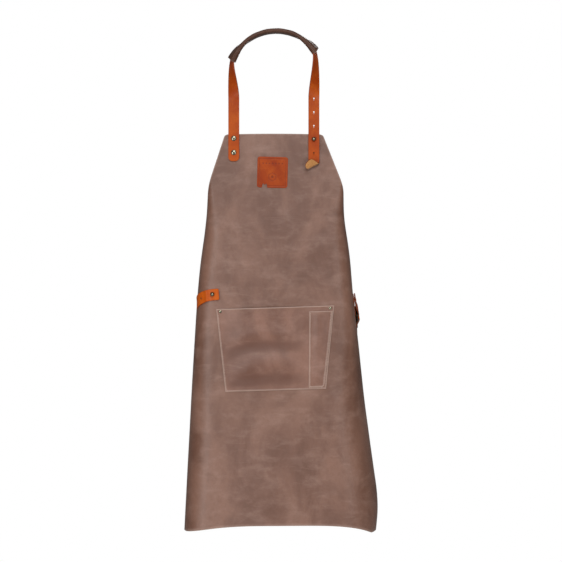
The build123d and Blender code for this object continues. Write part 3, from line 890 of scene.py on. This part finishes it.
strap_columns = 14
strap_end_round = 0.009
neck_strap = ribbon("neck_strap_leather", neck_route, strap_wide, strap_end_round, strap_columns)
good_side(neck_strap, neck_route)
strap_body(neck_strap, strap_thick)
backward, downward = Vector((0, 1, 0)), Vector((0, 0, -1))
strap_holes = []
for step in (3, 2, 1, 0, -1):
    place = Vector((strap_x, -strap_stand, neck_stud.z + hole_pitch * step))
    strap_holes.append((place, backward, downward))
punch(neck_strap, strap_holes, 0.0016, 0.004)
fold_place = Vector((strap_x, -strap_stand, -0.2905))
curl_tip(neck_strap, fold_place, radians(27), 0.0048, radians(150))
stand_for(neck_strap, "apron", "strap_leather", "neck_strap")


# ----------------------------------------------
# Neck sleeve: a strip of the brown leather folded round the strap and sewn shut along its outer
# front edge. It is pressed flat over the neck, and its two mouths stand open and turn forward.
# ----------------------------------------------
sleeve_left, sleeve_right = radians(-66), radians(54)
sleeve_wide, sleeve_thick, sleeve_wall = 0.030, 0.010, 0.0019
seam_around = 0.10


def neck_angle(place):
    """Where a place lies round the neck."""
    return atan2(place.x - neck_middle.x, place.z - neck_middle.z)


def sleeve_spot(u, v):
    """A point of the tube: u goes round it and v goes along it."""
    around = 2 * pi * u
    share = abs(2 * v - 1)
    slant = radians(-2.6) * cos(around) * share ** 8
    angle = sleeve_left + (sleeve_right - sleeve_left) * v + (slant if v < 0.5 else -slant)
    flare = smooth((share - 0.5) / 0.5)
    turn = radians(27) * smooth((share - 0.4) / 0.6)
    radial = Vector((sin(angle), 0, cos(angle)))
    out = radial * cos(turn) + Vector(forward) * sin(turn)
    along = Vector((cos(angle), 0, -sin(angle)))
    across = along.cross(out)
    half_wide = sleeve_wide / 2 - 0.001 * flare
    half_thick = sleeve_thick / 2 + 0.0024 * flare - 0.0004 * (1 - flare)
    flat_turn = around - 0.22 * sin(2 * around)
    x = cos(flat_turn) * half_wide
    y = sin(flat_turn) * half_thick * (1 + 0.65 * cos(flat_turn) ** 2)
    ripple = 0.00025 * sin(angle * 23) * sin(around * 2 + 1)
    edge = min(v, 1 - v)
    seam = smooth(1 - abs(u - seam_around) / 0.018)
    place = arc_point(angle) + across * (x + ripple) + out * (y + 0.0006 * seam + ripple)
    return place, 0.8 * smooth(1 - edge / 0.012), 0.7 * seam


sleeve = grid_piece("neck_sleeve_leather", 48, 96, sleeve_spot, ("rubbed", "hollow"))
bm = bmesh.new()
bm.from_mesh(sleeve.data)
bmesh.ops.remove_doubles(bm, verts=bm.verts, dist=0.00001)
bmesh.ops.recalc_face_normals(bm, faces=bm.faces)
bm.to_mesh(sleeve.data)
bm.free()
outside = sleeve.data.polygons[len(sleeve.data.polygons) // 2]
axis_point = arc_point(neck_angle(outside.center))
if outside.normal.dot(outside.center - axis_point) < 0:
    sleeve.data.flip_normals()
sleeve.data.polygons.foreach_set("use_smooth", [True] * len(sleeve.data.polygons))
dress(sleeve, pull_up_leather("sleeve_pull_up_leather", (0.46, 0.42, 0.40), 0.2, 0.15, 0.15),
      raw_edge("sleeve_raw_edge", (0.10, 0.055, 0.04), (0.21, 0.13, 0.10)))
thicken(sleeve, sleeve_wall, -1.0, 0.0003)
sleeve.modifiers["thickness"].use_even_offset = False
stand_for(sleeve, "sleeve", "sleeve_leather", "neck_sleeve")

sleeve_seam = []
sleeve_rows = 60
for step in range(sleeve_rows + 1):
    share = 0.02 + 0.96 * step / sleeve_rows
    place = sleeve_spot(seam_around, share)[0]
    inner = arc_point(neck_angle(place))
    sleeve_seam.append((place, (place - inner).normalized()))
sleeve_stitches = sew("sleeve_seam", [sleeve_seam], 0.0039, "sleeve", "sleeve_stitching")
brown_thread = waxed_thread("brown_waxed_thread", (0.13, 0.082, 0.062), (0.24, 0.165, 0.13))
sleeve_stitches.data.materials[0] = brown_thread


# ----------------------------------------------
# Rivets and studs: pressed and turned brass with an antique finish, nearly black in the hollows
# and rubbed bright on the crowns. Each is turned as one profile about its own axis.
# ----------------------------------------------
def antique_brass(name, bright):
    """Brass darkened in its hollows and worn back to metal on its crowns."""
    f = Finish(name, Metallic=1.0)
    wear = f.noise(f.place(), 190.0, 6.0, 0.7, 0.4)
    scratch = f.noise(f.place((1.0, 1.0, 14.0)), 500.0, 3.0, 0.6)
    crown = f.painted("crown")
    share = f.between(wear * 0.6 + crown * 0.8, 0.35, 1.0)
    colour = f.mix(share * bright, (0.045, 0.041, 0.028), (0.50, 0.47, 0.34))
    return f.finish(colour, 0.34 - share * 0.12 + scratch * 0.08, wear + scratch * 0.3, 0.00008, 0.5)


brass = antique_brass("antique_brass_finish", 0.34)


def turned_piece(name, places, profile, nodes, body):
    """Spins a profile of radius and height about each axis, given as a place and a direction."""
    bm = bmesh.new()
    crown = bm.verts.layers.float.new("crown")
    tallest = max(height for radius, height in profile)
    for place, toward in places:
        toward = Vector(toward).normalized()
        side = toward.orthogonal().normalized()
        verts = []
        for radius, height in profile:
            vert = bm.verts.new(Vector(place) + side * radius + toward * height)
            vert[crown] = max(0.0, height / tallest)
            verts.append(vert)
        edges = [bm.edges.new(pair) for pair in zip(verts, verts[1:])]
        bmesh.ops.spin(bm, geom=verts + edges, cent=place, axis=toward, angle=2 * pi, steps=36,
                       use_merge=True, use_duplicate=False)
    bmesh.ops.remove_doubles(bm, verts=bm.verts, dist=0.000004)
    bmesh.ops.recalc_face_normals(bm, faces=bm.faces)
    piece = keep(bm, name)
    dress(piece, brass)
    stand_for(piece, body, "antique_brass", *nodes)
    return piece


def dome(radius, height):
    """A rivet cap's profile: a low dome with a rolled rim."""
    steps = 9
    profile = [(0.0, height)]
    for step in range(1, steps + 1):
        angle = right_angle * step / steps
        profile.append((radius * sin(angle), height * (0.28 + 0.72 * cos(angle))))
    profile += [(radius * 0.985, height * 0.12), (radius * 0.93, 0.0), (0.0, 0.0)]
    return profile


def rivet_spots(node, count):
    """The middle of each cap in a node, one above the other or side by side."""
    low, high = corners(node)
    if count == 1:
        return [(low + high) / 2]
    size = high - low
    half = min(size.x, size.z) / 2
    if size.z > size.x:
        return [Vector((low.x + half, high.y, z)) for z in (low.z + half, high.z - half)]
    ends = ((low.x + half, low.z + half), (high.x - half, high.z - half))
    return [Vector((x, high.y, z)) for x, z in ends]


cap_radius, cap_height = 0.00575, 0.0027
turned_piece("neck_rivet_cap_domes", [(spot, forward) for spot in rivet_spots("neck_rivet_caps", 2)],
             dome(cap_radius, cap_height), ["neck_rivet_caps"], "apron")

small_low, small_high = corners("pocket_rivet_caps")
small_radius = 0.0033
small_spots = [Vector((small_low.x + small_radius, small_high.y, small_low.z + small_radius)),
               Vector((small_high.x - small_radius, small_high.y, small_high.z - small_radius))]
turned_piece("pocket_rivet_cap_domes", [(spot, forward) for spot in small_spots],
             dome(small_radius, 0.0017), ["pocket_rivet_caps"], "apron")

joints = frame["record"]["behaviour"]["joints"]
ring_joint = next(joint for joint in joints if joint["name"] == "ring_swing")
tab_across = Vector(ring_joint["axis"]).normalized()
wall_lean = 0.098
tab_out = Vector((1, 0, wall_lean)).normalized()
tab_along = tab_across.cross(tab_out).normalized()
ring_bar = Vector(ring_joint["pos_m"])

half_cap = 0.0013
strap_sink = 0.0033
shank = 0.0016
big_dome = dome(cap_radius, cap_height)
tab_cap = rivet_spots("tab_rivet_cap", 1)[0] - tab_out * half_cap
turned_piece("tab_rivet_cap_dome", [(tab_cap, tab_out)], big_dome, ["tab_rivet_cap"], "apron")
strap_cap = rivet_spots("strap_rivet_cap", 1)[0] - tab_out * (half_cap + strap_sink)
both_sides = big_dome[:-1] + [(shank, 0.0), (shank, -0.0051), (cap_radius, -0.0053),
                              (cap_radius * 0.9, -0.0066), (0.0, -0.0069)]
turned_piece("strap_rivet_pair", [(strap_cap, tab_out)], both_sides,
             ["strap_rivet_cap", "strap_rivet_post"], "apron")


def ball_stud(strap):
    """A ball-head stud: a flange on the leather, a waist for the strap's hole and a round head."""
    ball = 0.0045
    middle = 0.0017 + strap + ball * 0.85
    profile = [(0.0, 0.0), (0.0041, 0.0), (0.0042, 0.0004), (0.0040, 0.0011), (0.0022, 0.0013)]
    steps = 12
    for step in range(steps + 1):
        angle = radians(150 - 150 * step / steps)
        profile.append((ball * sin(angle), middle + ball * cos(angle)))
    profile[-1] = (0.0, middle + ball)
    return profile


waist_wide, waist_thick = 0.025, 0.0025
waist_stud = stud_place("waist_stud_head")
for strap, place, thick in (("neck", neck_stud, strap_thick), ("waist", waist_stud, waist_thick)):
    turned_piece(strap + "_ball_stud", [(place, forward)], ball_stud(thick),
                 [strap + "_stud_head"], "apron")

for node in ("neck_rivet_posts", "pocket_rivet_posts", "tab_rivet_post", "neck_stud_screw",
             "waist_stud_screw", "waist_ring"):
    for piece in [item for item in bpy.data.objects if item.name == node]:
        for slot in piece.material_slots:
            slot.material = brass


# ----------------------------------------------
# Waist strap and tab: the strap is buttoned on the left stud, goes round behind the wearer and
# is folded round one bar of the ring. The short tab is folded round the other bar and riveted.
# ----------------------------------------------
waist_stand = 0.00145 + waist_thick / 2
bar_reach = 0.016


def side_point(reach, stand):
    """A point beside the right wall: so far past the ring's front bar, and from its middle."""
    return ring_bar + tab_along * reach + tab_out * stand


def rounded(points, radii, step_angle=radians(7)):
    """A route of straight runs joined by arcs, as a strap bends."""
    route = [points[0]]
    for before, corner, after, radius in zip(points, points[1:], points[2:], radii):
        to_before, to_after = (before - corner).normalized(), (after - corner).normalized()
        half = to_before.angle(to_after) / 2
        turn = pi - 2 * half
        tangent = radius / (sin(half) / cos(half))
        middle = corner + (to_before + to_after).normalized() * (radius / sin(half))
        start = corner + to_before * tangent - middle
        axis = start.cross(corner + to_after * tangent - middle).normalized()
        count = max(2, round(turn / step_angle))
        for step in range(count + 1):
            route.append(middle + Matrix.Rotation(turn * step / count, 3, axis) @ start)
    return route + [points[-1]]


def paced(points, pace):
    """The same route with extra points so that no run is longer than the pace."""
    route = [points[0]]
    for a, b in zip(points, points[1:]):
        count = max(1, round((b - a).length / pace))
        route += [a + (b - a) * (step / count) for step in range(1, count + 1)]
    return route


side_x = -0.1735
back_x = -0.158
back_y = 0.165
strap_eye = 0.0047
lap_stand = waist_thick / 2
fold_long = 0.046


def lap_lean(reach):
    """How far the strap leans in towards the wearer behind the ring."""
    return 0.0033 * smooth(reach / 0.022)


fold_end = side_point(bar_reach + fold_long, lap_stand - lap_lean(fold_long))
corner_back = fold_end + tab_along * 0.062 - tab_out * 0.012
stud_z = waist_stud.z
loop_points = [Vector((-0.1205, -waist_stand, stud_z)), Vector((side_x, -waist_stand, stud_z - 0.004)),
               Vector((back_x, back_y, stud_z - 0.100)),
               Vector((0.010, back_y + 0.020, corner_back.z + 0.004)), corner_back, fold_end]
loop = paced(rounded(loop_points, [0.040, 0.052, 0.260, 0.048]), 0.003)
kink_x, kink_rise, kink_width = -0.148, 0.0020, 0.0035
for place in loop:
    if place.y < 0.02:
        place += Vector(forward) * kink_rise * exp(-((place.x - kink_x) / kink_width) ** 2)

waist_route = []
for index, place in enumerate(loop):
    way = (loop[min(index + 1, len(loop) - 1)] - loop[max(index - 1, 0)]).normalized()
    share = smooth((index / len(loop) - 0.8) / 0.2)
    up = Vector((0, 0, 1)) * (1 - share) + tab_across * share
    up = (up - way * up.dot(way)).normalized()
    waist_route.append((place, way.cross(up) * -1))

outer_lap = [(0.040, lap_stand), (0.034, lap_stand), (0.028, lap_stand), (0.022, lap_stand + 0.0002),
             (0.016, lap_stand + 0.0008), (0.010, lap_stand + 0.0018), (0.005, lap_stand + 0.0026)]
for reach, stand in outer_lap:
    waist_route.append((side_point(bar_reach + reach, stand - lap_lean(reach)), tab_out))
for step in range(13):
    angle = radians(90 + 180 * step / 12)
    way_out = tab_along * cos(angle) + tab_out * sin(angle)
    waist_route.append((side_point(bar_reach, 0) + way_out * strap_eye, way_out))
for reach, stand in outer_lap[::-1]:
    waist_route.append((side_point(bar_reach + reach, -stand - lap_lean(reach)), tab_out * -1))

waist_end_round = 0.003
waist_strap = ribbon("waist_strap_leather", waist_route, waist_wide, waist_end_round, strap_columns)
good_side(waist_strap, waist_route)
strap_body(waist_strap, waist_thick)
waist_strap.data.materials[0] = strap_leather("waist_strap_bridle", (1.32, 1.55, 1.8), False)
second_hole = min(loop, key=lambda place: abs(place.x + 0.161) + abs(place.y) * 0.2)
corner_middle = Vector((side_x + 0.040, -waist_stand + 0.040, second_hole.z))
outward = (second_hole - corner_middle).normalized()
punch(waist_strap, [(waist_stud + Vector((0, -waist_stand, 0)), backward, Vector((1, 0, 0))),
                    (second_hole, outward * -1, Vector((0, 0, 1)).cross(outward))], 0.0024, 0.0)
stand_for(waist_strap, "apron", "strap_leather", "waist_strap")

tab_eye = 0.0038
tab_foot = -0.0054
upper = [(-0.047, -0.0017), (-0.041, -0.0017), (-0.034, -0.0017), (-0.028, -0.0016),
         (-0.022, -0.0008), (-0.016, 0.0008), (-0.010, 0.0024), (-0.005, 0.0034)]
tab_route = [(side_point(reach, stand), tab_out) for reach, stand in upper]
eye_steps = 14
for step in range(eye_steps + 1):
    angle = radians(90 - 180 * step / eye_steps)
    way_out = tab_along * cos(angle) + tab_out * sin(angle)
    tab_route.append((side_point(0, 0) + way_out * tab_eye, way_out))
lower = [(-0.005, -0.0040), (-0.010, -0.0044), (-0.016, -0.0048), (-0.022, -0.0052), (-0.030, tab_foot),
         (-0.038, tab_foot), (-0.046, tab_foot)]
tab_route += [(side_point(reach, stand), tab_out * -1) for reach, stand in lower]
tab = ribbon("waist_tab_leather", tab_route, waist_wide, waist_end_round, strap_columns)
good_side(tab, tab_route)
strap_body(tab, waist_thick)
stand_for(tab, "apron", "strap_leather", "waist_tab")


# ----------------------------------------------
# Floor: a round board painted a pale, almost even grey, with a matt finish. It lies well below
# the hem, because the apron hangs, and isn't part of it.
# ----------------------------------------------
floor_drop = 0.36
floor_radius = 1.2
bm = bmesh.new()
bmesh.ops.create_circle(bm, cap_ends=True, segments=96, radius=floor_radius)
bmesh.ops.translate(bm, verts=bm.verts, vec=(0, 0, panel_low.z - floor_drop))
floor = keep(bm, "floor")
f = Finish("studio_floor")
speckle = f.noise(f.place(), 30.0, 4.0, 0.6)
dress(floor, f.finish(f.mix(speckle, (0.80, 0.80, 0.79), (0.86, 0.86, 0.85)), 0.75))
